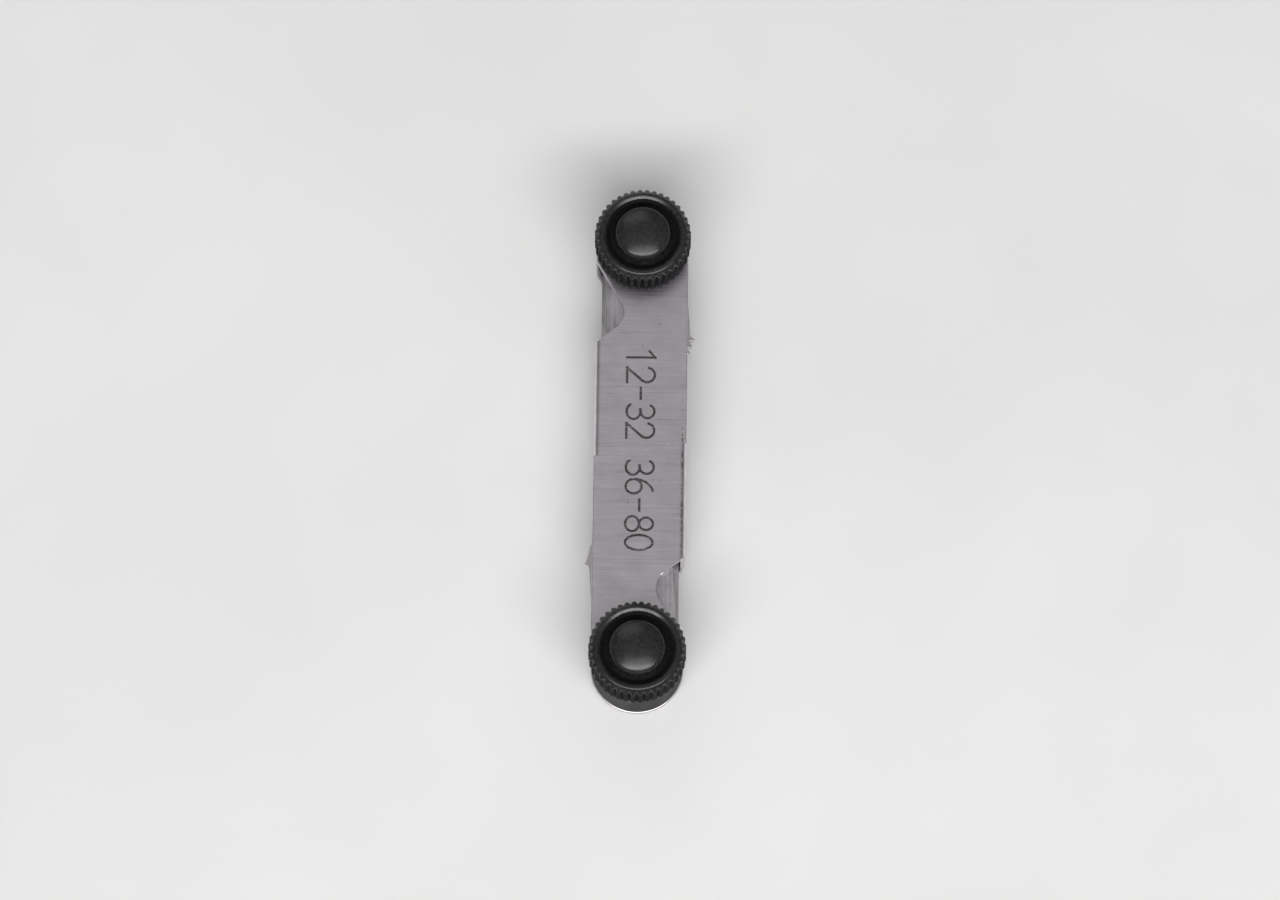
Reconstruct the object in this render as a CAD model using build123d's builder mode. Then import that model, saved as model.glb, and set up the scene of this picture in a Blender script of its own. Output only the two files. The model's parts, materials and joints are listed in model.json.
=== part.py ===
"""Folding thread pitch gauge.

A flat case, folded from one steel sheet, carries eight toothed blades at each end.
The blades of an end turn about a riveted stud, where a knurled plastic knob clamps them.
The case lies flat with its length along Y and its knobs up, standing on the stud heads.
The coarse blades pivot at the +Y end and open towards +X.
The fine blades pivot at the -Y end and open towards -X.
"""

import os
from math import cos, radians, sin, sqrt, tan

from build123d import *

# Case, in millimetres
pivot_spacing = 46.0
case_width = 10.0
sheet = 0.5
bend_inside = 0.3
wall_past_middle = 0.8
seam_gap = 0.1

# Thumb notches in both plates, with distances from the pivot along the case
notch_near = 1.9
notch_far = 11.2
notch_bottom = 8.1
notch_depth = 3.65
notch_radius = 2.2

# Blades, with angles in degrees
blade_thickness = 0.5
blade_gap = 0.05
back_clearance = 0.15
heel_inset = 0.1
heel_blend = 2.0
front_inset = 0.45
tip_gap = 2.0
tip_radius = 0.6
tip_land = 0.8
tooth_start = 10.8
tooth_taper = 21.0
tooth_angle = 60.0
tooth_flat = 0.125
inch = 25.4
coarse_threads_per_inch = (32, 28, 24, 20, 18, 16, 14, 12)
fine_threads_per_inch = (80, 72, 64, 56, 48, 44, 40, 36)
# How far each blade stands open at rest, from the top of the stack down
rest_fan = (4.0, 2.4, 0.5, 1.1, 0.2, 0.0, 0.7, 0.3)

# Riveted studs
stud_diameter = 4.0
stud_head_diameter = 7.0
stud_head_height = 0.8
stud_chamfer = 0.3
running_clearance = 0.05
plate_clearance = 0.1

# Washers, knobs and the threaded inserts of the knobs
washer_diameter = 7.5
washer_thickness = 0.3
knob_overhang = 0.2
knob_ring_height = 3.9
knob_rim_chamfer = 0.7
knob_foot_chamfer = 0.35
knob_ring_width = 0.1
knob_lip_run = 0.75
knob_lip_drop = 0.45
knob_groove_depth = 0.6
knob_groove_slope = 0.05
knob_groove_floor = 0.3
dome_rise = 1.25
dome_crown = 0.8
dome_draft = 0.4
dome_shoulder = 0.4
knurl_count = 40
knurl_depth = 0.32
knurl_angle = 80.0
insert_wall = 0.95
insert_mouth = 0.25
insert_end_room = 0.2
insert_roof = 0.3
stud_end_room = 0.3

# How far a cutting outline runs past the edge it cuts
overshoot = 1.0

# Heights that follow from the sizes above
blade_step = blade_thickness + blade_gap
bay_height = len(rest_fan) * blade_step + blade_gap
case_bottom = stud_head_height
bay_bottom = case_bottom + sheet
bay_top = bay_bottom + bay_height
case_top = bay_top + sheet
knob_bottom = case_top + washer_thickness
groove_height = knob_ring_height - knob_groove_depth
insert_length = groove_height - insert_roof - insert_end_room
stud_top = knob_bottom + insert_length - stud_end_room

# Plan sizes that follow from the sizes above
pivot_y = pivot_spacing / 2
half_width = case_width / 2
bend_outside = bend_inside + sheet
bend_root = half_width - bend_outside - sheet
wall_length = wall_past_middle + pivot_y - notch_bottom
stud_radius = stud_diameter / 2
running_radius = stud_radius + running_clearance
insert_radius = running_radius + insert_wall
knob_radius = half_width + knob_overhang
heel_radius = half_width - heel_inset
back_edge = half_width - sheet - back_clearance
front_edge = half_width - front_inset
blade_reach = pivot_y - tip_gap

# The two ends of the case: the side along Y, and the blades from the top of the stack down
ends = {"coarse": 1, "fine": -1}
threads_per_inch = {"coarse": coarse_threads_per_inch, "fine": fine_threads_per_inch}


def level_plane(side, height, turn=0.0):
    """A level plane on the pivot of an end: -Y runs into the case, +X to its open side."""
    angle = radians(turn)
    x_direction = (side * cos(angle), side * sin(angle), 0)
    return Plane(origin=(0, side * pivot_y, height), x_dir=x_direction, z_dir=(0, 0, 1))


def upright_plane(side, height):
    """An upright plane through the pivot of an end: X is the radius, Y the height."""
    return Plane(origin=(0, side * pivot_y, height), x_dir=(1, 0, 0), z_dir=(0, -1, 0))


def pivot_axis(side):
    """The upright axis about which the blades and the knob of an end turn."""
    return Axis((0, side * pivot_y, 0), (0, 0, 1))


def write(piece, name):
    """Label a finished piece and write it under the same name."""
    piece.label = name
    export_step(piece, f"parts/{name}.step")


def plate_outline(height):
    """The plan of one plate: a long slot shape, less the strips where the walls are bent."""
    strip_width = half_width - bend_root
    strip_x = half_width - strip_width / 2
    strip_y = wall_past_middle - wall_length / 2
    with BuildSketch(Plane.XY.offset(height)) as plate:
        SlotCenterToCenter(pivot_spacing, case_width, rotation=90)
        for side in ends.values():
            with Locations((side * strip_x, side * strip_y)):
                Rectangle(strip_width, wall_length, mode=Mode.SUBTRACT)
    return plate.sketch


def wall_section(side):
    """The section of the wall on the +X or -X side, from plate to plate round two bends.

    The -X wall, behind the coarse blades, has the seam where the edges of the sheet meet.
    """
    seamed = side < 0
    start = wall_length - wall_past_middle if seamed else wall_past_middle
    outer_x = side * half_width
    inner_x = side * (half_width - sheet)
    root_x = side * bend_root
    middle = (case_bottom + case_top) / 2
    with BuildSketch(Plane.XZ.offset(-start)) as section:
        with BuildLine():
            outer = FilletPolyline(
                (root_x, case_top),
                (outer_x, case_top),
                (outer_x, case_bottom),
                (root_x, case_bottom),
                radius=bend_outside,
            )
            inner = FilletPolyline(
                (root_x, bay_bottom),
                (inner_x, bay_bottom),
                (inner_x, bay_top),
                (root_x, bay_top),
                radius=bend_inside,
            )
            Line(outer @ 1, inner @ 0)
            Line(inner @ 1, outer @ 0)
        make_face()
        if seamed:
            with Locations((outer_x, middle)):
                Rectangle(2 * (sheet + overshoot), seam_gap, mode=Mode.SUBTRACT)
    return section.sketch


def thumb_notch(side):
    """The plan of a notch beside the pivot: two flanks that meet in a round bottom."""
    deepest = notch_depth - half_width
    cut_width = notch_depth + overshoot
    near_slope = (notch_bottom - notch_near) / notch_depth
    far_slope = (notch_far - notch_bottom) / notch_depth
    with BuildSketch(level_plane(side, 0)) as notch:
        Polygon(
            (deepest, -notch_bottom),
            (deepest - cut_width, cut_width * near_slope - notch_bottom),
            (deepest - cut_width, -cut_width * far_slope - notch_bottom),
            align=None,
        )
        fillet(notch.vertices().sort_by(Axis.X)[-1:], notch_radius)
    return notch.sketch


def make_case():
    """The sheet folded into two plates and two walls, with its notches and stud holes."""
    with BuildPart() as case:
        for height in (case_bottom, bay_top):
            extrude(plate_outline(height), amount=sheet)
        for side in ends.values():
            extrude(wall_section(side), amount=wall_length)
        for side in ends.values():
            extrude(thumb_notch(side), amount=case_top, mode=Mode.SUBTRACT)
            with BuildSketch(level_plane(side, case_bottom)):
                Circle(stud_radius)
            extrude(amount=sheet, mode=Mode.SUBTRACT)
            with BuildSketch(level_plane(side, bay_top)):
                Circle(stud_radius + plate_clearance)
            extrude(amount=sheet, mode=Mode.SUBTRACT)
    return case.part


def tooth_points(pitch):
    """Corners of the toothed edge, from its heel end to the tip.

    Each tooth has a flat crest, a flank, a flat root and a flank back up to the next crest.
    """
    taper = radians(tooth_taper)
    flat = tooth_flat * pitch
    flank = pitch / 2 - flat
    depth = flank / tan(radians(tooth_angle / 2))
    edge_length = (blade_reach - tooth_start) / cos(taper)
    teeth = int((edge_length - tip_land) / pitch)
    steps = []
    for tooth in range(teeth):
        crest = tooth * pitch
        root = crest + flat + flank
        steps += [(crest, 0), (crest + flat, 0), (root, depth), (root + flat, depth)]
    steps += [(teeth * pitch, 0), (edge_length, 0)]
    points = []
    for along, inward in steps:
        x = half_width - along * sin(taper) - inward * cos(taper)
        y = -tooth_start - along * cos(taper) + inward * sin(taper)
        points.append((x, y))
    return points


def make_blade(side, height, fan, pitch):
    """A leaf with a round heel, a straight back, a tapered toothed edge and a blunt tip."""
    heel_front = (front_edge, -sqrt(heel_radius**2 - front_edge**2))
    heel_back = (-back_edge, -sqrt(heel_radius**2 - back_edge**2))
    shoulder = (front_edge, front_inset - tooth_start)
    tip_back = (-back_edge, -blade_reach)
    with BuildPart() as blade:
        with BuildSketch(level_plane(side, height, fan)) as outline:
            with BuildLine():
                ThreePointArc(heel_front, (0, heel_radius), heel_back)
                edge = Polyline(heel_front, shoulder, *tooth_points(pitch))
                Polyline(edge @ 1, tip_back, heel_back)
            make_face()
            fillet(outline.vertices().sort_by(Axis.Y)[:2], tip_radius)
            fillet(outline.vertices().sort_by_distance(heel_back)[:1], heel_blend)
            Circle(running_radius, mode=Mode.SUBTRACT)
        extrude(amount=blade_thickness)
    return blade.part


def make_stud(side):
    """A plain shank with a flat head under the lower plate."""
    with BuildPart() as stud:
        with BuildSketch(level_plane(side, 0)):
            Circle(stud_head_diameter / 2)
        extrude(amount=stud_head_height)
        with BuildSketch(level_plane(side, stud_head_height)):
            Circle(stud_radius)
        extrude(amount=stud_top - stud_head_height)
        rims = stud.edges().filter_by(GeomType.CIRCLE).group_by(Axis.Z)
        chamfer(rims[0] + rims[-1], stud_chamfer)
    return stud.part


def make_washer(side):
    """The flat ring between the upper plate and the knob."""
    with BuildPart() as washer:
        with BuildSketch(level_plane(side, case_top)):
            Circle(washer_diameter / 2)
            Circle(stud_radius + plate_clearance, mode=Mode.SUBTRACT)
        extrude(amount=washer_thickness)
    return washer.part


def make_insert(side):
    """The threaded bush moulded into the knob, with a chamfered mouth."""
    with BuildPart() as bush:
        with BuildSketch(level_plane(side, knob_bottom)):
            Circle(insert_radius)
            Circle(running_radius, mode=Mode.SUBTRACT)
        extrude(amount=insert_length)
        mouth = bush.edges().filter_by(GeomType.CIRCLE).group_by(Axis.Z)[0].sort_by(SortBy.RADIUS)
        chamfer(mouth[:1], insert_mouth)
    return bush.part


def make_knob(side):
    """A knurled ring, bevelled outside and in, and a crowned dome in a groove at its middle."""
    ring_outer = knob_radius - knob_rim_chamfer
    ring_inner = ring_outer - knob_ring_width
    lip = (ring_inner - knob_lip_run, knob_ring_height - knob_lip_drop)
    groove_outer = lip[0] - knob_groove_slope
    dome_foot = groove_outer - knob_groove_floor
    dome_edge = (dome_foot - dome_draft, knob_ring_height + dome_rise - dome_crown)
    dome_top = (0, knob_ring_height + dome_rise)
    with BuildPart() as knob:
        with BuildSketch(upright_plane(side, knob_bottom)) as profile:
            with BuildLine():
                side_line = Polyline(
                    (0, 0),
                    (knob_radius - knob_foot_chamfer, 0),
                    (knob_radius, knob_foot_chamfer),
                    (knob_radius, knob_ring_height - knob_rim_chamfer),
                    (ring_outer, knob_ring_height),
                    (ring_inner, knob_ring_height),
                    lip,
                    (groove_outer, groove_height),
                    (dome_foot, groove_height),
                    dome_edge,
                )
                crown = TangentArc(dome_top, dome_edge, tangent=(1, 0))
                Line(crown @ 0, side_line @ 0)
            make_face()
            fillet(profile.vertices().sort_by_distance(dome_edge)[:1], dome_shoulder)
        revolve(axis=pivot_axis(side))
        with BuildSketch(level_plane(side, knob_bottom)):
            mouth = (knurl_depth + overshoot) * tan(radians(knurl_angle / 2))
            with PolarLocations(knob_radius, knurl_count):
                Polygon((-knurl_depth, 0), (overshoot, -mouth), (overshoot, mouth), align=None)
        extrude(amount=knob_ring_height, mode=Mode.SUBTRACT)
        with BuildSketch(level_plane(side, knob_bottom)):
            Circle(insert_radius)
        extrude(amount=insert_length + insert_end_room, mode=Mode.SUBTRACT)
    return knob.part


os.makedirs("parts", exist_ok=True)
write(make_case(), "case")
for end, side in ends.items():
    write(make_stud(side), f"{end}_pivot_stud")
    write(make_washer(side), f"{end}_washer")
    write(make_insert(side), f"{end}_knob_insert")
    write(make_knob(side), f"{end}_knob")
    for level, (threads, fan) in enumerate(zip(threads_per_inch[end], rest_fan)):
        height = bay_top - (level + 1) * blade_step
        write(make_blade(side, height, fan, inch / threads), f"{end}_blade_{threads}")
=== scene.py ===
# %% [markdown]
# # A folding thread pitch gauge
# A thread pitch gauge is a pocket tool. A flat folded steel case holds two fans of toothed
# leaves, and each fan swings on a stud under a black knurled knob. The pieces come packed, at
# their true size, as named nodes that ride on named bodies. This lesson dresses that frame:
# every visible surface gets a finish, and a piece that needs finer form gets a new surface.

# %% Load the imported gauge
import json
import math

import bmesh
import bpy
import numpy as np
from mathutils import Matrix, Vector


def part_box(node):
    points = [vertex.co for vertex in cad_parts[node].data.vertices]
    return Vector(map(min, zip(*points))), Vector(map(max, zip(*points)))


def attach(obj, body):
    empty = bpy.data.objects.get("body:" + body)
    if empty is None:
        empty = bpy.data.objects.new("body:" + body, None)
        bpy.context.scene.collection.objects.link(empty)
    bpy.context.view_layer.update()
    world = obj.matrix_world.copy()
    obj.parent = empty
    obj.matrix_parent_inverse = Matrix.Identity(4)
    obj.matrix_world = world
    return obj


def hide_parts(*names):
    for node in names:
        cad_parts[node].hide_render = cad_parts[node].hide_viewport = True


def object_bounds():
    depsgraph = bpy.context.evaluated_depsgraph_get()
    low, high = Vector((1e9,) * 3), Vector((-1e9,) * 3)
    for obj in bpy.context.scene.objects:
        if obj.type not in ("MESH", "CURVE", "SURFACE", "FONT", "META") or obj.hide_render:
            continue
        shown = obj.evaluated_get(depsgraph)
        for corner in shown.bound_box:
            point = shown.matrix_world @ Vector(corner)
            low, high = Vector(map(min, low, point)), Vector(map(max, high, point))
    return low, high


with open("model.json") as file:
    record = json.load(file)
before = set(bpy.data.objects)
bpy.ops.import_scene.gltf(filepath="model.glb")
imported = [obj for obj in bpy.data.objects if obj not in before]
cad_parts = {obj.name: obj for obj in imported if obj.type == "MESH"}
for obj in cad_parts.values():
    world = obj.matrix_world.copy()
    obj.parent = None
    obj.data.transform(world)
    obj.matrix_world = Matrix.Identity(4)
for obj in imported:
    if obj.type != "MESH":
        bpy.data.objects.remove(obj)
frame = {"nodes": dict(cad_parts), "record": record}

mm = 0.001
micron = 0.001 * mm
nodes = frame["nodes"]
cad_box = [[float(value) for value in corner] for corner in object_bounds()]
gauge_middle = Vector(np.mean(cad_box, axis=0))
print(len(nodes), "nodes, box in mm", np.round(np.array(cad_box) / mm, 2).tolist())

# %% [markdown]
# ## Camera
# The gauge lies flat and is seen from almost straight above, 16 degrees towards its fine end.
# A long lens from well back keeps its long sides parallel, as a product picture does. The
# camera leans by less than a degree, because the gauge does so in the picture. There is room
# in the frame for the leaves to swing out past both ends.

# %% Camera at the picture's angle
view_height = math.radians(74.0)
view_distance = 0.612
view_lean = math.radians(0.8)
lens_length = 160.0

lens = bpy.data.cameras.new("picture_camera")
lens.lens = lens_length
camera = bpy.data.objects.new("picture_camera", lens)
bpy.context.collection.objects.link(camera)
backwards = Vector((0.0, -math.cos(view_height), math.sin(view_height)))
camera.matrix_world = (
    Matrix.Translation(gauge_middle + view_distance * backwards)
    @ Matrix.Rotation(math.pi / 2 - view_height, 4, "X")
    @ Matrix.Rotation(view_lean, 4, "Z")
)
bpy.context.scene.camera = camera
bpy.context.scene.view_settings.view_transform = "Standard"
print("camera", round(view_distance / mm), "mm away with a", lens_length, "mm lens")

# %% [markdown]
# ## Light
# Satin steel shows what is round it, so the light matters as much as the finish. A pale sky
# that darkens towards the horizon gives the flat plates their even grey and the bent edges their
# shading. A wide soft lamp on the side of the viewer draws highlights on the black knobs and
# thin ones along rolled edges, a weaker one above it broadens them, and a weak one on the far
# side lightens the shadow.

# %% Sky and soft lamps
sky_low = 0.17
sky_high = 0.54

sky = bpy.data.worlds.new("pale_sky")
bpy.context.scene.world = sky
sky.use_nodes = True
sky_tree = sky.node_tree
sky_tree.nodes.clear()
heading = sky_tree.nodes.new("ShaderNodeTexCoord")
parts = sky_tree.nodes.new("ShaderNodeSeparateXYZ")
sky_tree.links.new(heading.outputs["Generated"], parts.inputs["Vector"])
rise = sky_tree.nodes.new("ShaderNodeMapRange")
rise.inputs["To Min"].default_value = sky_low
rise.inputs["To Max"].default_value = sky_high
squared = sky_tree.nodes.new("ShaderNodeMath")
squared.operation = "MULTIPLY"
sky_tree.links.new(parts.outputs["Z"], squared.inputs[0])
sky_tree.links.new(parts.outputs["Z"], squared.inputs[1])
sky_tree.links.new(squared.outputs["Value"], rise.inputs["Value"])
lighting = sky_tree.nodes.new("ShaderNodeBackground")
sky_tree.links.new(rise.outputs["Result"], lighting.inputs["Strength"])
surround = sky_tree.nodes.new("ShaderNodeOutputWorld")
sky_tree.links.new(lighting.outputs["Background"], surround.inputs["Surface"])


def soft_lamp(name, place, size, brightness):
    """A rectangular lamp aimed at the gauge: its power is brightness times pi times its area."""
    lamp = bpy.data.lights.new(name, "AREA")
    lamp.shape = "RECTANGLE"
    lamp.size, lamp.size_y = size
    lamp.energy = brightness * math.pi * size[0] * size[1]
    holder = bpy.data.objects.new(name, lamp)
    bpy.context.collection.objects.link(holder)
    aim = (gauge_middle - Vector(place)).to_track_quat("-Z", "Y")
    holder.matrix_world = Matrix.Translation(place) @ aim.to_matrix().to_4x4()
    return lamp.energy


powers = [
    soft_lamp("near_softbox", (0.04, -0.68, 0.73), (1.50, 0.24), 8.6),
    soft_lamp("upper_softbox", (0.04, -0.45, 0.89), (1.10, 0.30), 2.0),
    soft_lamp("far_softbox", (-0.30, 0.90, 0.70), (0.90, 0.60), 0.7),
]
print("lamps in watts", np.round(powers, 2).tolist())

# %% [markdown]
# ## Floor
# The gauge rests on its two stud heads, so a plain pale floor lies at that level. It belongs
# to the stage and not to the gauge, and one large square is enough for it.

# %% Pale floor
floor_half = 4.0
floor_drop = 0.02 * mm

corners = floor_half * np.array([[-1.0, -1.0], [1.0, -1.0], [1.0, 1.0], [-1.0, 1.0]])
floor_points = np.column_stack([corners, np.full(4, cad_box[0][2] - floor_drop)])
floor_mesh = bpy.data.meshes.new("floor")
floor_mesh.from_pydata(floor_points.tolist(), [], [(0, 1, 2, 3)])
floor = bpy.data.objects.new("floor", floor_mesh)
bpy.context.collection.objects.link(floor)
print("floor", 2 * floor_half, "m wide")

# %% [markdown]
# ## Node helpers
# Every finish below is a small tree of nodes on Object coordinates, in metres, so a pattern
# stays fixed to its piece when the piece swings. A few helpers keep the trees short: they add a
# node, stretch noise into brush lines, scatter sparse specks, do arithmetic, mix colours and turn
# a height into a bump.

# %% Helpers that add nodes
def add(tree, kind, settings=None, **inputs):
    """Adds a node, sets its properties, and links or sets its inputs by name."""
    node = tree.nodes.new(kind)
    for key, value in (settings or {}).items():
        setattr(node, key, value)
    for key, value in inputs.items():
        socket = node.inputs[key.replace("_", " ")]
        if isinstance(value, bpy.types.NodeSocket):
            tree.links.new(value, socket)
        else:
            socket.default_value = value
    return node


def start_finish(name, metallic=0.0):
    """A new material, its node tree and its shader."""
    finish = bpy.data.materials.new(name)
    finish.use_nodes = True
    tree = finish.node_tree
    shader = tree.nodes["Principled BSDF"]
    shader.inputs["Metallic"].default_value = metallic
    return finish, tree, shader


def grain(tree, size, turn=0.0, detail=3.0):
    """Noise whose features have the given size along x, y and z, turned about z."""
    where = add(tree, "ShaderNodeTexCoord").outputs["Object"]
    fitted = add(tree, "ShaderNodeMapping", {"vector_type": "TEXTURE"},
                 Vector=where, Rotation=(0.0, 0.0, turn), Scale=size)
    noise = add(tree, "ShaderNodeTexNoise", Vector=fitted.outputs["Vector"],
                Scale=1.0, Detail=detail, Roughness=0.6)
    return noise.outputs["Fac"]


def spread(tree, value, source, target):
    """Carries a range of values to another range and holds it at both ends."""
    node = add(tree, "ShaderNodeMapRange", Value=value)
    for key, number in zip(("From Min", "From Max", "To Min", "To Max"), (*source, *target)):
        node.inputs[key].default_value = number
    return node.outputs["Result"]


def specks(tree, spacing, radius):
    """One at the middle of a random cell and none beyond the radius, in the cell's own size."""
    where = add(tree, "ShaderNodeTexCoord").outputs["Object"]
    cells = add(tree, "ShaderNodeTexVoronoi", Vector=where, Scale=1.0 / spacing)
    return spread(tree, cells.outputs["Distance"], (0.5 * radius, radius), (1.0, 0.0))


def figure(tree, operation, *values):
    """One step of arithmetic on sockets or numbers."""
    node = tree.nodes.new("ShaderNodeMath")
    node.operation = operation
    for socket, value in zip(node.inputs, values):
        if isinstance(value, bpy.types.NodeSocket):
            tree.links.new(value, socket)
        else:
            socket.default_value = value
    return node.outputs["Value"]


def tones(tree, value, *stops):
    """A colour ramp through (position, grey or colour) stops."""
    ramp = add(tree, "ShaderNodeValToRGB", Fac=value)
    band = ramp.color_ramp
    while len(band.elements) < len(stops):
        band.elements.new(0.5)
    for element, (position, colour) in zip(band.elements, stops):
        element.position = position
        element.color = (*colour, 1.0)
    return ramp.outputs["Color"]


def relief(tree, height, depth, base=None):
    """A bump of the given depth in metres, on top of another bump if one is given."""
    bump = add(tree, "ShaderNodeBump", Height=height, Strength=1.0, Distance=depth)
    if base is not None:
        tree.links.new(base, bump.inputs["Normal"])
    return bump.outputs["Normal"]


print("node helpers ready")

# %% [markdown]
# The floor is painted first, because it needs the fewest nodes. A faint cloud between two pale
# greys keeps it from looking empty, and it has almost no gloss, so it shows the shadow and no
# mirror image.

# %% Floor paint
floor_pale, floor_paler = (0.74, 0.74, 0.735), (0.80, 0.80, 0.795)
cloud_size = 60 * mm

floor_finish, tree, shader = start_finish("floor_paint")
cloud = grain(tree, (cloud_size, cloud_size, cloud_size))
tree.links.new(tones(tree, cloud, (0.3, floor_pale), (0.7, floor_paler)),
               shader.inputs["Base Color"])
shader.inputs["Roughness"].default_value = 0.9
shader.inputs["Specular IOR Level"].default_value = 0.1
floor_mesh.materials.append(floor_finish)
print("floor painted")

# %% [markdown]
# ## Steel of the case
# The case is bent from one strip of steel with a satin finish, brushed across its length. Up
# close it has fine lines from side to side, soft blotches, a few pits, stray scratches, and
# edges that handling has worn brighter. Each of these is one layer of noise, at its real size.

# %% Satin case steel
wear_start, wear_full = 4.2 * mm, 4.9 * mm


def position(tree):
    """The x, y and z sockets of Object coordinates."""
    where = add(tree, "ShaderNodeTexCoord").outputs["Object"]
    split = add(tree, "ShaderNodeSeparateXYZ", Vector=where)
    return split.outputs["X"], split.outputs["Y"], split.outputs["Z"]


case_steel, tree, shader = start_finish("case_steel", metallic=1.0)
brushing = grain(tree, (5 * mm, 0.07 * mm, 0.4 * mm))
blotches = grain(tree, (2.4 * mm, 2.0 * mm, 2.0 * mm), detail=5.0)
stray = grain(tree, (6 * mm, 0.05 * mm, 6 * mm), turn=math.radians(62), detail=1.0)
stray_mark = spread(tree, stray, (0.70, 0.76), (0.0, 1.0))
pits = specks(tree, 1.5 * mm, 0.07)
across, along, up = position(tree)
edge = spread(tree, figure(tree, "ABSOLUTE", across), (wear_start, wear_full), (0.0, 1.0))
worn = figure(tree, "MULTIPLY", edge, spread(tree, blotches, (0.42, 0.62), (0.0, 1.0)))
# Painted glints: sparse bright specks stand for small dents catching the light.
painted_dent_glints = specks(tree, 2.3 * mm, 0.045)
shade = figure(tree, "ADD", spread(tree, brushing, (0.25, 0.75), (0.36, 0.64)),
               spread(tree, blotches, (0.3, 0.7), (-0.09, 0.09)))
for layer, weight in ((worn, 0.10), (stray_mark, 0.08), (painted_dent_glints, 0.30), (pits, -0.25)):
    shade = figure(tree, "ADD", shade, figure(tree, "MULTIPLY", layer, weight))
print("case layers ready")

# %% [markdown]
# Dirt stays in the stamped numbers, which lie between the two faces of the upper plate, and the
# press brake left a row of small dark rubs beside one bend. The upper plate's rim under the knobs
# gets painted shade, where the knobs hang over it. All are masks made from position. Dirt and the
# painted shade aren't metal, so they also take the metal's shine away.

# %% Dirt in the stamping, painted shade on the rims and rubs beside the bend
plate_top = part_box("case")[1][2]
plate_low = plate_top - 0.7 * mm
rim_shade_start, rim_shade_full, rim_shade_fade = 24.2 * mm, 25.2 * mm, 0.1 * mm
stamp_skin, stamp_floor, skin_fade = 0.012 * mm, 0.30 * mm, 0.005 * mm
stamp_half_height, stamp_half_length, stamp_fade = 2.2 * mm, 12.5 * mm, 0.1 * mm
rub_line, rub_half, rub_edge = 4.55 * mm, 0.09 * mm, 0.04 * mm
rub_from, rub_to, rub_fade = -17 * mm, 6 * mm, 2 * mm


def between(tree, value, low, high, soft):
    """One where the value lies between two limits, with soft ends."""
    above = spread(tree, value, (low - soft, low + soft), (0.0, 1.0))
    below = spread(tree, value, (high - soft, high + soft), (1.0, 0.0))
    return figure(tree, "MULTIPLY", above, below)


in_plate = between(tree, up, plate_top - stamp_floor, plate_top - stamp_skin, skin_fade)
in_middle = between(tree, across, -stamp_half_height, stamp_half_height, stamp_fade)
dirt_and_shade = figure(tree, "MULTIPLY", figure(tree, "MULTIPLY", in_plate, in_middle),
              between(tree, along, -stamp_half_length, stamp_half_length, stamp_fade))
rub_row = grain(tree, (3 * mm, 0.35 * mm, 3 * mm), detail=1.0)
rubs = figure(tree, "MULTIPLY",
              between(tree, across, rub_line - rub_half, rub_line + rub_half, rub_edge),
              spread(tree, rub_row, (0.46, 0.56), (0.0, 1.0)))
rubs = figure(tree, "MULTIPLY", rubs, between(tree, along, rub_from, rub_to, rub_fade))
dirt_and_shade = figure(tree, "MULTIPLY", dirt_and_shade, spread(tree, blotches, (0.36, 0.60), (0.80, 1.0)))
# Painted shade: the upper plate's rim under the knobs is darkened and loses its metal shine.
painted_rim_shade = figure(tree, "MULTIPLY",
                spread(tree, up, (plate_low - rim_shade_fade, plate_low), (0.0, 1.0)),
                spread(tree, figure(tree, "ABSOLUTE", along), (rim_shade_start, rim_shade_full),
                       (0.0, 1.0)))
# From here on the mask holds the dirt in the stamping and the painted shade under the knobs.
dirt_and_shade = figure(tree, "MAXIMUM", dirt_and_shade, painted_rim_shade)
for layer, weight in ((dirt_and_shade, -0.45), (rubs, -0.24)):
    shade = figure(tree, "ADD", shade, figure(tree, "MULTIPLY", layer, weight))
case_colour = tones(tree, shade, (0.10, (0.05, 0.047, 0.049)), (0.40, (0.61, 0.575, 0.61)),
                    (0.60, (0.70, 0.66, 0.70)), (0.85, (0.86, 0.83, 0.86)))
tree.links.new(case_colour, shader.inputs["Base Color"])
tree.links.new(figure(tree, "SUBTRACT", 1.0, dirt_and_shade), shader.inputs["Metallic"])
shader.inputs["Specular IOR Level"].default_value = 0.1
satin = spread(tree, brushing, (0.25, 0.75), (0.26, 0.40))
tree.links.new(figure(tree, "ADD", satin, figure(tree, "MULTIPLY", dirt_and_shade, 0.25)),
               shader.inputs["Roughness"])
lines = relief(tree, brushing, 0.9 * micron)
tree.links.new(relief(tree, pits, -6 * micron, lines), shader.inputs["Normal"])
print(case_steel.name, "has", len(tree.nodes), "nodes")

# %% [markdown]
# ## Steel of the leaves
# The toothed leaves are punched from thin strip that was ground flat, so their fine lines run
# along the leaf. They were stored with a film of oil, which leaves faint darker clouds. The cut
# edges get painted shade round the heel, darkest under the knob, where they also lose their metal
# shine, and grow bright towards the teeth, which are ground. An edge is told by a normal that lies
# level, and a heel by its distance from the pivot.

# %% Ground leaf steel
pivot_reach = 23 * mm
heel_reach, bright_reach = 5.0 * mm, 12.0 * mm


def reach_from_pivot(tree):
    """Level distance from the nearer pivot: the root of the sum of the squared distances."""
    across, along, up = position(tree)
    beside = figure(tree, "SUBTRACT", figure(tree, "ABSOLUTE", along), pivot_reach)
    squares = figure(tree, "ADD", figure(tree, "MULTIPLY", across, across),
                     figure(tree, "MULTIPLY", beside, beside))
    return figure(tree, "SQRT", squares)


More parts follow.
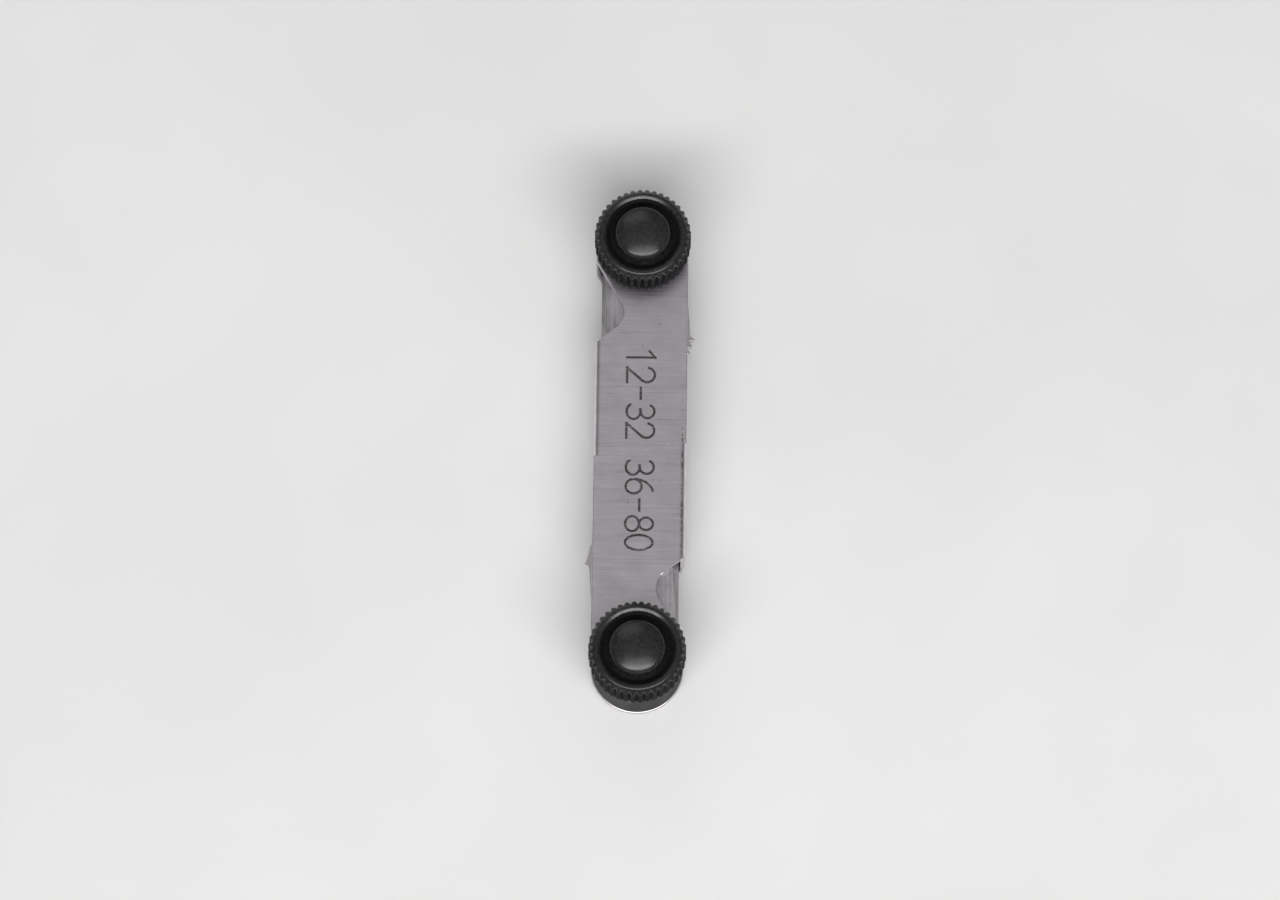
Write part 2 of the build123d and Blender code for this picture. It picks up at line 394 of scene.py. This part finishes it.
leaf_steel, tree, shader = start_finish("leaf_steel", metallic=1.0)
grinding = grain(tree, (0.06 * mm, 7 * mm, 0.5 * mm))
oil = grain(tree, (1.8 * mm, 3.2 * mm, 1.8 * mm), detail=4.0)
facing = add(tree, "ShaderNodeSeparateXYZ",
             Vector=add(tree, "ShaderNodeNewGeometry").outputs["Normal"]).outputs["Z"]
cut_edge = spread(tree, figure(tree, "ABSOLUTE", facing), (0.90, 0.98), (1.0, 0.0))
heel_shade_falloff = spread(tree, reach_from_pivot(tree), (heel_reach, bright_reach), (1.0, 0.0))
# Painted shade: level cut edges near the heel are darkened, most under the knob, and lose their
# metal shine.
painted_edge_shade = figure(tree, "MULTIPLY", cut_edge, heel_shade_falloff)
shade = figure(tree, "ADD", spread(tree, grinding, (0.30, 0.70), (0.12, 0.40)),
               spread(tree, oil, (0.35, 0.65), (0.08, 0.38)))
shade = figure(tree, "MULTIPLY", shade, spread(tree, painted_edge_shade, (0.0, 1.0), (1.0, 0.06)))
leaf_colour = tones(tree, shade, (0.02, (0.035, 0.034, 0.034)), (0.36, (0.50, 0.475, 0.50)),
                    (0.52, (0.61, 0.58, 0.61)), (0.72, (0.78, 0.75, 0.78)))
tree.links.new(leaf_colour, shader.inputs["Base Color"])
tree.links.new(figure(tree, "SUBTRACT", 1.0, painted_edge_shade), shader.inputs["Metallic"])
shader.inputs["Specular IOR Level"].default_value = 0.05
satin = spread(tree, grinding, (0.25, 0.75), (0.26, 0.40))
tree.links.new(figure(tree, "ADD", satin, figure(tree, "MULTIPLY", painted_edge_shade, 0.20)),
               shader.inputs["Roughness"])
tree.links.new(relief(tree, grinding, 0.8 * micron), shader.inputs["Normal"])
print(leaf_steel.name, "has", len(tree.nodes), "nodes")

# %% [markdown]
# ## Turned metal
# Studs, washers and the brass bushes in the knobs are turned on a lathe, which leaves fine
# rings round their axis. The rings are a sine wave of the distance from the nearer pivot. One
# function makes both metals, because only colour and gloss differ.

# %% Turned steel and turned brass
ring_width = 0.09 * mm


def turned_metal(name, dark, bright, gloss):
    """Metal with lathe rings: the wave of the distance to the nearer pivot, and soft clouds."""
    finish, tree, shader = start_finish(name, metallic=1.0)
    turns = figure(tree, "MULTIPLY", reach_from_pivot(tree), 2 * math.pi / ring_width)
    wave = figure(tree, "SINE", turns)
    rings = spread(tree, wave, (-1.0, 1.0), (0.0, 1.0))
    clouds = grain(tree, (0.9 * mm, 0.9 * mm, 0.9 * mm), detail=4.0)
    shade = figure(tree, "ADD", figure(tree, "MULTIPLY", rings, 0.35),
                   figure(tree, "MULTIPLY", clouds, 0.65))
    tree.links.new(tones(tree, shade, (0.25, dark), (0.75, bright)), shader.inputs["Base Color"])
    tree.links.new(spread(tree, clouds, (0.3, 0.7), gloss), shader.inputs["Roughness"])
    tree.links.new(relief(tree, rings, 1.2 * micron), shader.inputs["Normal"])
    print(name, "has", len(tree.nodes), "nodes")
    return finish


stud_steel = turned_metal("stud_steel", (0.36, 0.36, 0.365), (0.56, 0.56, 0.57), (0.24, 0.38))
bush_brass = turned_metal("bush_brass", (0.42, 0.29, 0.10), (0.66, 0.48, 0.19), (0.22, 0.36))

# %% [markdown]
# ## Black plastic
# The knobs are moulded in black plastic. Their top has a satin skin, slightly uneven, with a
# film of dust and a few larger grains. The grip round the side and the hollow round the dome come
# matte from the mould, so they stay deep black. One function makes both, because only gloss and
# dust differ.

# %% Moulded black plastic
def moulded_plastic(name, gloss, level, film_weight):
    """Black plastic with a fine skin, a film of dust of the given weight and a few grains."""
    finish, tree, shader = start_finish(name)
    skin = grain(tree, (0.12 * mm, 0.12 * mm, 0.12 * mm), detail=4.0)
    handling = grain(tree, (1.1 * mm, 1.1 * mm, 1.1 * mm), detail=4.0)
    film = grain(tree, (0.35 * mm, 0.35 * mm, 0.35 * mm), detail=5.0)
    dust = specks(tree, 1.2 * mm, 0.055)
    shade = figure(tree, "ADD", spread(tree, film, (0.35, 0.70), (0.0, film_weight)),
                   figure(tree, "MULTIPLY", dust, 2 * film_weight))
    tree.links.new(tones(tree, shade, (0.0, (0.005, 0.005, 0.006)), (0.30, (0.030, 0.030, 0.031)),
                         (0.90, (0.22, 0.215, 0.21))), shader.inputs["Base Color"])
    tree.links.new(spread(tree, handling, (0.3, 0.7), gloss), shader.inputs["Roughness"])
    shader.inputs["Specular IOR Level"].default_value = level
    tree.links.new(relief(tree, skin, 3 * micron), shader.inputs["Normal"])
    print(name, "has", len(tree.nodes), "nodes")
    return finish


black_plastic = moulded_plastic("black_plastic", (0.22, 0.34), 0.5, 0.20)
grip_plastic = moulded_plastic("grip_plastic", (0.48, 0.66), 0.03, 0.06)

# %% [markdown]
# ## Knobs
# A knob is a turned form: a ring that is bevelled outside and slopes to a groove inside, and a
# crowned dome in the middle. Its grip is forty straight V-grooves that also scallop the bevel. A
# lathe would carry one profile round the axis, so the surface is that profile on a grid of
# profile point by angle. The profile is drawn with plain corners, which are then rounded, and the
# dome is lowered towards its edge by as much as the top of a ball falls away.

# %% Profile of a knob
def rounded(corners, radii, count):
    """Replaces each inner corner by an arc. The arc starts one tangent length before the corner
    and turns from the incoming to the outgoing direction: radius times the tangent of half the
    turn is the tangent length, and the sine and cosine of the turn so far give each point."""
    leg = np.diff(corners, axis=0)
    heading = leg / np.linalg.norm(leg, axis=1, keepdims=True)
    before, after = heading[:-1], heading[1:]
    turn = np.arctan2(before[:, 0] * after[:, 1] - before[:, 1] * after[:, 0],
                      np.sum(before * after, axis=1))
    normal = np.sign(turn)[:, None] * np.column_stack([-before[:, 1], before[:, 0]])
    start = corners[1:-1] - before * (radii * np.tan(np.abs(turn) / 2))[:, None]
    so_far = np.abs(turn)[:, None] * np.linspace(0.0, 1.0, count)
    arcs = (start[:, None, :]
            + radii[:, None, None] * (np.sin(so_far)[..., None] * before[:, None, :]
                                      + (1 - np.cos(so_far))[..., None] * normal[:, None, :]))
    return np.concatenate([corners[:1], arcs.reshape(-1, 2), corners[-1:]])


def filled(line, spacing):
    """Adds evenly spaced points to a line, so that no step is longer than the spacing."""
    reach = np.concatenate([[0.0], np.cumsum(np.linalg.norm(np.diff(line, axis=0), axis=1))])
    marks = np.linspace(0.0, reach[-1], int(reach[-1] / spacing))
    clear = np.abs(marks[:, None] - reach[None, :]).min(axis=1) > 0.3 * spacing
    every = np.sort(np.concatenate([reach, marks[clear]]))
    return np.column_stack([np.interp(every, reach, line[:, 0]),
                            np.interp(every, reach, line[:, 1])])


knob_radius, bevel_foot, crest_radius, crest_height = 5.2, 3.2, 4.45, 3.93
lip_foot, groove_outer, groove_level, dome_foot = (3.65, 3.45), 3.6, 3.3, 3.3
dome_edge, knob_height, crown_drop = 2.9, 5.15, 0.8
bush_radius, bush_room = 3.0, 3.0
knob_corners = np.array([
    (0.0, bush_room), (bush_radius, bush_room), (bush_radius, 0.0), (knob_radius, 0.0),
    (knob_radius, bevel_foot), (crest_radius, crest_height), lip_foot,
    (groove_outer, groove_level), (dome_foot, groove_level), (dome_edge, knob_height),
    (0.0, knob_height),
])
knob_rounds = np.array([0.05, 0.10, 0.35, 0.15, 0.30, 0.06, 0.05, 0.05, 0.45])
round_points, profile_step = 7, 0.30
profile = filled(rounded(knob_corners, knob_rounds, round_points), profile_step)
crown_ball = (dome_edge**2 + crown_drop**2) / (2 * crown_drop)
on_dome = (profile[:, 1] > groove_level) & (profile[:, 0] < dome_foot)
lift = np.where(on_dome, (profile[:, 1] - groove_level) / (knob_height - groove_level), 0.0)
profile[:, 1] -= lift * (crown_ball - np.sqrt(crown_ball**2 - profile[:, 0] ** 2))
print("knob profile of", len(profile), "points, dome crowned by", crown_drop, "mm")

# %% [markdown]
# The outline of the grip is a circle with a V cut at every fortieth of a turn. Two square roots
# round the edges and the bottom of each V by a few hundredths, as moulding does. At each angle
# the knob's radius is held inside that outline, which also cuts the V through the rim.

# %% Grip outline and knob surface
knurl_count, knurl_depth = 40, 0.32
knurl_slope = math.tan(math.radians(40))
knurl_soft = 0.03
steps_per_knurl = 12


def grip_radius(angle):
    """Outer radius less the depth of the V at that angle: depth less the distance from the
    V's middle over its slope, never below nought, with both corners softened."""
    pitch = 2 * np.pi / knurl_count
    offset = (angle / pitch - np.round(angle / pitch)) * pitch * knob_radius
    soft_offset = np.sqrt(offset**2 + knurl_soft**2) - knurl_soft
    left = knurl_depth - soft_offset / knurl_slope
    return knob_radius - 0.5 * (left + np.sqrt(left**2 + knurl_soft**2))


def grid_faces(rows, columns, first):
    """Quads between neighbouring rows of a grid that closes on itself along its columns."""
    row, column = np.meshgrid(np.arange(rows - 1), np.arange(columns), indexing="ij")
    after = (column + 1) % columns
    quads = np.stack([row * columns + column, row * columns + after,
                      (row + 1) * columns + after, (row + 1) * columns + column], axis=-1)
    return first + quads.reshape(-1, 4)


def turned_surface(profile, angle, limit):
    """Carries the profile round the axis. Its radius never passes the limit at that angle, and
    its two ends lie on the axis, where a fan of triangles closes the surface."""
    ring = profile[1:-1]
    radius = np.minimum(ring[:, :1], limit[None, :])
    points = np.stack([radius * np.cos(angle), radius * np.sin(angle),
                       np.broadcast_to(ring[:, 1:], radius.shape)], axis=-1)
    verts = np.concatenate([[[0.0, 0.0, profile[0, 1]]], points.reshape(-1, 3),
                            [[0.0, 0.0, profile[-1, 1]]]])
    columns = len(angle)
    last = len(verts) - 1
    column = np.arange(columns)
    after = (column + 1) % columns
    top_row = 1 + (len(ring) - 1) * columns
    start_fan = np.column_stack([np.zeros(columns, int), after + 1, column + 1])
    end_fan = np.column_stack([top_row + column, top_row + after, np.full(columns, last)])
    faces = grid_faces(len(ring), columns, 1).tolist() + start_fan.tolist() + end_fan.tolist()
    return verts, faces


def piece_from(name, verts, faces, finish, sharp):
    """A mesh object at the origin from points in metres, smooth but for edges past an angle."""
    mesh = bpy.data.meshes.new(name)
    mesh.from_pydata(verts.tolist(), [], faces)
    mesh.polygons.foreach_set("use_smooth", np.ones(len(mesh.polygons), bool))
    mesh.set_sharp_from_angle(angle=math.radians(sharp))
    mesh.materials.append(finish)
    mesh.validate()
    piece = bpy.data.objects.new(name, mesh)
    bpy.context.collection.objects.link(piece)
    return piece


turn = np.linspace(0.0, 2 * np.pi, knurl_count * steps_per_knurl, endpoint=False)
knob_verts, knob_faces = turned_surface(profile, turn, grip_radius(turn))
print("knob surface of", len(knob_verts), "points and", len(knob_faces), "faces")

# %% [markdown]
# Two finishes share a knob: matte on the grip and in the hollow round the dome, satin elsewhere.
# Each step of the profile becomes one ring of faces, so a finish is chosen once for each step and
# repeated round the ring. The middle of a flat face lies a little inside its circle, which is what
# the cosine is for. The two fans that close the surface on its axis come last and stay satin. Both
# knobs are the same form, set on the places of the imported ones.

# %% Two knobs with two finishes
hollow_edge = 4.05

step_middle = (profile[1:-2] + profile[2:-1]) / 2
reach = step_middle[:, 0] * math.cos(math.pi / len(turn))
on_grip = (reach > bush_radius) & (step_middle[:, 1] < bevel_foot)
in_hollow = (reach > dome_foot) & (reach < hollow_edge)
matte = np.zeros(len(knob_faces), np.int32)
matte[:len(reach) * len(turn)] = np.repeat(on_grip | in_hollow, len(turn))
for end in ("coarse", "fine"):
    low, high = (np.array(corner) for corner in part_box(f"{end}_knob"))
    foot = np.array([*(low + high)[:2] / 2, low[2]])
    knob = piece_from(f"{end}_knurled_knob", knob_verts * mm + foot, knob_faces,
                      black_plastic, sharp=48)
    knob.data.materials.append(grip_plastic)
    knob.data.polygons.foreach_set("material_index", matte)
    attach(knob, f"{end}_knob")
    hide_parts(f"{end}_knob")
    print(knob.name, "has", len(knob.data.polygons), "faces, height in mm",
          round((high - low)[2] / mm, 2))

# %% [markdown]
# ## Numbers drawn as strokes
# The case and the leaves carry plain numbers: threads per inch. A punch or an etching needle
# draws a number with strokes of one width, so each digit is a few lines and arcs in a cell, and a
# section is carried along them. A V section gives a stamped groove, a flat one an etched mark.

# %% Digits as lines and arcs
arc_steps, cell_width = 15, 0.6


def line(start, end):
    """A stroke from start to end, in a cell 0.6 wide and 1 high."""
    share = np.linspace(0.0, 1.0, 3)[:, None]
    return np.array(start) + share * (np.array(end) - np.array(start))


def oval(centre, radii, start, end):
    """Part of an ellipse between two angles in degrees."""
    angle = np.radians(np.linspace(start, end, arc_steps))
    return np.array(centre) + np.array(radii) * np.column_stack([np.cos(angle), np.sin(angle)])


two_bend = oval((0.30, 0.72), (0.27, 0.28), 165, -35)
digit_strokes = {
    "0": [oval((0.30, 0.50), (0.28, 0.50), 0, 360)],
    "1": [line((0.10, 0.80), (0.34, 1.00)), line((0.34, 1.00), (0.34, 0.00))],
    "2": [two_bend, line(two_bend[-1], (0.03, 0.00)), line((0.03, 0.00), (0.57, 0.00))],
    "3": [oval((0.28, 0.75), (0.25, 0.25), 150, -90), oval((0.28, 0.25), (0.29, 0.25), 104, -150)],
    "4": [line((0.42, 0.00), (0.42, 1.00)), line((0.42, 1.00), (0.02, 0.30)),
          line((0.02, 0.30), (0.58, 0.30))],
    "5": [line((0.53, 1.00), (0.12, 1.00)), line((0.12, 1.00), (0.08, 0.54)),
          oval((0.27, 0.31), (0.29, 0.31), 132, -150)],
    "6": [oval((0.30, 0.29), (0.27, 0.29), 0, 360), oval((0.58, 0.29), (0.55, 0.70), 180, 103)],
    "7": [line((0.02, 1.00), (0.57, 1.00)), line((0.57, 1.00), (0.20, 0.00))],
    "8": [oval((0.30, 0.75), (0.23, 0.25), 0, 360), oval((0.30, 0.25), (0.28, 0.25), 0, 360)],
    "-": [line((0.10, 0.50), (0.50, 0.50))],
    " ": [],
}


def carried(path, section):
    """Carries a closed section along a level path. The section's first coordinate goes to the
    right of the path and its second goes up. A path that ends where it began becomes a ring.
    Any other gets a cap at both ends that slopes: a point's height over the section's lowest
    point is how far it is pushed out along the path."""
    ring = bool(np.allclose(path[0], path[-1]))
    path = path[:-1] if ring else path
    if ring:
        step = np.roll(path, -1, axis=0) - np.roll(path, 1, axis=0)
    else:
        step = np.gradient(path, axis=0)
    ahead = step / np.linalg.norm(step, axis=1, keepdims=True)
    right = np.column_stack([ahead[:, 1], -ahead[:, 0]])
    level = path[:, None, :] + section[None, :, :1] * right[:, None, :]
    if not ring:
        slope = section[:, 1:] - section[:, 1:].min()
        level[0] -= slope * ahead[0]
        level[-1] += slope * ahead[-1]
    height = np.broadcast_to(section[None, :, 1:], (len(path), len(section), 1))
    verts = np.concatenate([level, height], axis=-1).reshape(-1, 3)
    rows = len(path) + 1 if ring else len(path)
    faces = (grid_faces(rows, len(section), 0) % len(verts)).tolist()
    if not ring:
        first = np.arange(len(section))
        faces += [first[::-1].tolist(), (first + len(verts) - len(section)).tolist()]
    return verts, faces


def number_mesh(words, size, advance, section):
    """All strokes of a number on one line, centred on the origin, as points and faces."""
    width = advance * (len(words) - 1) + cell_width * size
    verts, faces, count = [], [], 0
    for place, character in enumerate(words):
        for stroke in digit_strokes[character]:
            path = stroke * size + np.array([place * advance - width / 2, -size / 2])
            points, quads = carried(path, section)
            verts.append(points)
            faces += [[index + count for index in face] for face in quads]
            count += len(points)
    return np.concatenate(verts), faces


def volume_of(verts, faces):
    """Signed volume: a sixth of the sum of triple products over fans of triangles."""
    fans = [(face[0], face[i], face[i + 1]) for face in faces for i in range(1, len(face) - 1)]
    a, b, c = (verts[np.array(fans)[:, corner]] for corner in range(3))
    return float(np.sum(a * np.cross(b, c)) / 6)


def laid(verts, origin, ahead):
    """Turns a number so that it reads along a level direction, and moves it to its origin."""
    ahead = np.array([*ahead, 0.0])
    above = np.array([-ahead[1], ahead[0], 0.0])
    upwards = np.array([0.0, 0.0, 1.0])
    return np.array(origin) + verts @ np.stack([ahead, above, upwards])


print(len(digit_strokes), "signs of", sum(map(len, digit_strokes.values())), "strokes")

# %% [markdown]
# ## Case with stamped numbers
# The case came from a press, so its cut edges are a little rolled over and catch the light. A
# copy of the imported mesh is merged, because it comes as loose triangles, its flat faces are
# joined, and a narrow bevel rolls its edges. Edges that run through a tight bend have no room for
# that, so a weight on each edge says which are rolled. The stamped numbers are V-grooves that a
# Boolean cuts out. They give the threads per inch of the two fans, from coarse to fine.

# %% Merged copies and the section of a stamped groove
weld_reach, flat_turn = 0.4 * micron, math.radians(0.3)


def welded_copy(node, name, finish):
    """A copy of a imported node's mesh with its loose triangles merged and its flats joined."""
    mesh = nodes[node].data.copy()
    mesh.name = name
    shell = bmesh.new()
    shell.from_mesh(mesh)
    bmesh.ops.remove_doubles(shell, verts=shell.verts, dist=weld_reach)
    bmesh.ops.dissolve_limit(shell, angle_limit=flat_turn, verts=shell.verts, edges=shell.edges)
    shell.to_mesh(mesh)
    shell.free()
    mesh.materials.clear()
    mesh.materials.append(finish)
    piece = bpy.data.objects.new(name, mesh)
    bpy.context.collection.objects.link(piece)
    return piece


def smoothed(piece, sharp):
    """Smooth shading that keeps edges past an angle sharp and large flats flat."""
    mesh = piece.data
    if mesh.has_custom_normals:
        mesh.normals_split_custom_set([(0.0, 0.0, 0.0)] * len(mesh.loops))
    mesh.polygons.foreach_set("use_smooth", np.ones(len(mesh.polygons), bool))
    mesh.set_sharp_from_angle(angle=math.radians(sharp))
    weights = piece.modifiers.new("large_flats", "WEIGHTED_NORMAL")
    weights.keep_sharp = True
    return len(mesh.polygons)


stamp_size, stamp_advance = 3.0 * mm, 2.08 * mm
stamp_width, stamp_depth, stamp_lip = 0.30 * mm, 0.16 * mm, 0.05 * mm
stamp_section = np.array([(-stamp_width / 2, 0.0), (0.0, -stamp_depth), (stamp_width / 2, 0.0)])
stamp_section *= 1 + stamp_lip / stamp_depth
stamp_section[:, 1] += stamp_lip
print("stamped groove", round(stamp_width / mm, 2), "mm wide")

# %% [markdown]
# The weights come first, then the bevel, then the Boolean. The result is kept as a plain mesh, so
# that the number's cutter can be thrown away.

# %% Rolled and stamped case
edge_roll, roll_steps, sharp_turn = 0.17 * mm, 4, math.radians(40)
flat_half, end_start, wall_end = 4.19 * mm, 13.0 * mm, 1.0 * mm


def rolls(edge):
    """A sharp level edge rolls on the flat of a plate, round an end or along an open side."""
    first, second = (corner.co for corner in edge.verts)
    middle = (first + second) / 2
    level = abs(first.z - second.z) < weld_reach
    on_flat = max(abs(first.x), abs(second.x)) < flat_half
    round_end = min(abs(first.y), abs(second.y)) > end_start
    open_side = middle.x * middle.y > 0 and abs(middle.y) > wall_end
    sharp = edge.calc_face_angle(0.0) > sharp_turn
    return sharp and level and (on_flat or round_end or open_side)


case_shell = welded_copy("case", "stamped_case", case_steel)
shell = bmesh.new()
shell.from_mesh(case_shell.data)
edge_weight = shell.edges.layers.float.new("bevel_weight_edge")
for edge in shell.edges:
    edge[edge_weight] = float(rolls(edge))
shell.to_mesh(case_shell.data)
shell.free()
roll = case_shell.modifiers.new("rolled_edges", "BEVEL")
roll.width = edge_roll
roll.segments = roll_steps
roll.limit_method = "WEIGHT"
roll.use_clamp_overlap = False

stamp_points, stamp_faces = number_mesh("12-32 36-80", stamp_size, stamp_advance, stamp_section)
if volume_of(stamp_points, stamp_faces) < 0:
    stamp_faces = [face[::-1] for face in stamp_faces]
stamp_points = laid(stamp_points, (0.0, 0.0, plate_top), (0.0, -1.0))
stamp_mesh = bpy.data.meshes.new("stamp")
stamp_mesh.from_pydata(stamp_points.tolist(), [], stamp_faces)
stamp = bpy.data.objects.new("stamp", stamp_mesh)
bpy.context.collection.objects.link(stamp)
press = case_shell.modifiers.new("stamping", "BOOLEAN")
press.operation = "DIFFERENCE"
press.solver = "EXACT"
press.use_self = True
press.object = stamp
made = bpy.data.meshes.new_from_object(
    case_shell.evaluated_get(bpy.context.evaluated_depsgraph_get()))
case_shell.modifiers.clear()
case_shell.data = made
bpy.data.objects.remove(stamp)
count = smoothed(case_shell, sharp=30)
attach(case_shell, "case")
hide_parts("case")
print(case_shell.name, "has", count, "faces after the bevel and the stamping")

# %% [markdown]
# ## Leaves and turned pieces
# The leaves, studs, washers and bushes already have their true form. Merged copies let their
# round backs and bores shade smoothly, while teeth and edges stay sharp. The edges of a leaf are
# rolled by a small share of its pitch, so that the finest teeth keep their form.

# %% Smooth leaves, studs, washers and bushes
finishes = {"case_steel": case_steel, "blade_steel": leaf_steel, "stud_steel": stud_steel,
            "insert_brass": bush_brass, "black_plastic": black_plastic}
bodies = frame["record"]["behaviour"]["bodies"]
body_of_node = {node: body for body, members in bodies.items() for node in members}
leaf_roll, pitch_share, inch = 0.035 * mm, 0.035, 25.4 * mm
faces_made = 0
for row in frame["record"]["subparts"]:
    node, slot = row["node"], row["material_slot"]
    packed_slots = nodes[node].data.materials
    packed_slots.clear()
    packed_slots.append(finishes[slot])
    if node == "case" or slot == "black_plastic":
        continue
    piece = welded_copy(node, f"{node}_finished", finishes[slot])
    if slot == "blade_steel":
        roll = piece.modifiers.new("rolled_edges", "BEVEL")
        roll.width = min(leaf_roll, pitch_share * inch / int(node.split("_")[-1]))
        roll.segments = 2
        roll.limit_method = "ANGLE"
        roll.angle_limit = sharp_turn
        roll.use_clamp_overlap = False
    faces_made += smoothed(piece, sharp=28)
    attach(piece, body_of_node[node])
    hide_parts(node)
print("smooth pieces with", faces_made, "faces in all")

# %% [markdown]
# ## Etched numbers on the leaves
# Each leaf says which thread it fits. The number is etched: a dark mark, almost level with the
# steel, between the pivot and the teeth, where it shows once the leaf is swung out. It follows
# the small angle at which the leaf lies at rest, which its hinge's range gives.

# %% Etched leaf numbers
etch_size, etch_advance, etch_reach = 2.0 * mm, 1.5 * mm, 8.4 * mm
etch_half, etch_sunk, etch_proud = 0.09 * mm, 0.006 * mm, 0.006 * mm
etch_section = np.array([(-etch_half, etch_proud), (-etch_half, -etch_sunk),
                         (etch_half, -etch_sunk), (etch_half, etch_proud)])

etched_steel, tree, shader = start_finish("etched_steel", metallic=1.0)
bite = grain(tree, (0.05 * mm, 0.05 * mm, 0.05 * mm), detail=4.0)
tree.links.new(tones(tree, bite, (0.3, (0.025, 0.024, 0.023)), (0.7, (0.085, 0.082, 0.08))),
               shader.inputs["Base Color"])
tree.links.new(spread(tree, bite, (0.3, 0.7), (0.5, 0.75)), shader.inputs["Roughness"])

for joint in frame["record"]["behaviour"]["joints"]:
    leaf = joint["child"]
    if "blade" not in leaf:
        continue
    end, _, threads = leaf.split("_")
    side = 1.0 if end == "coarse" else -1.0
    opened = math.radians(-joint["range_deg"][0])
    ahead = np.array([side * math.sin(opened), -side * math.cos(opened)])
    place = np.array([0.0, side * pivot_reach]) + etch_reach * ahead
    points, faces = number_mesh(threads, etch_size, etch_advance, etch_section)
    if volume_of(points, faces) < 0:
        faces = [face[::-1] for face in faces]
    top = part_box(leaf)[1][2]
    mark = piece_from(f"{leaf}_number", laid(points, (*place, top), ahead), faces,
                      etched_steel, sharp=40)
    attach(mark, leaf)
print("etched a number on each leaf, the last at", np.round(place / mm, 2).tolist())
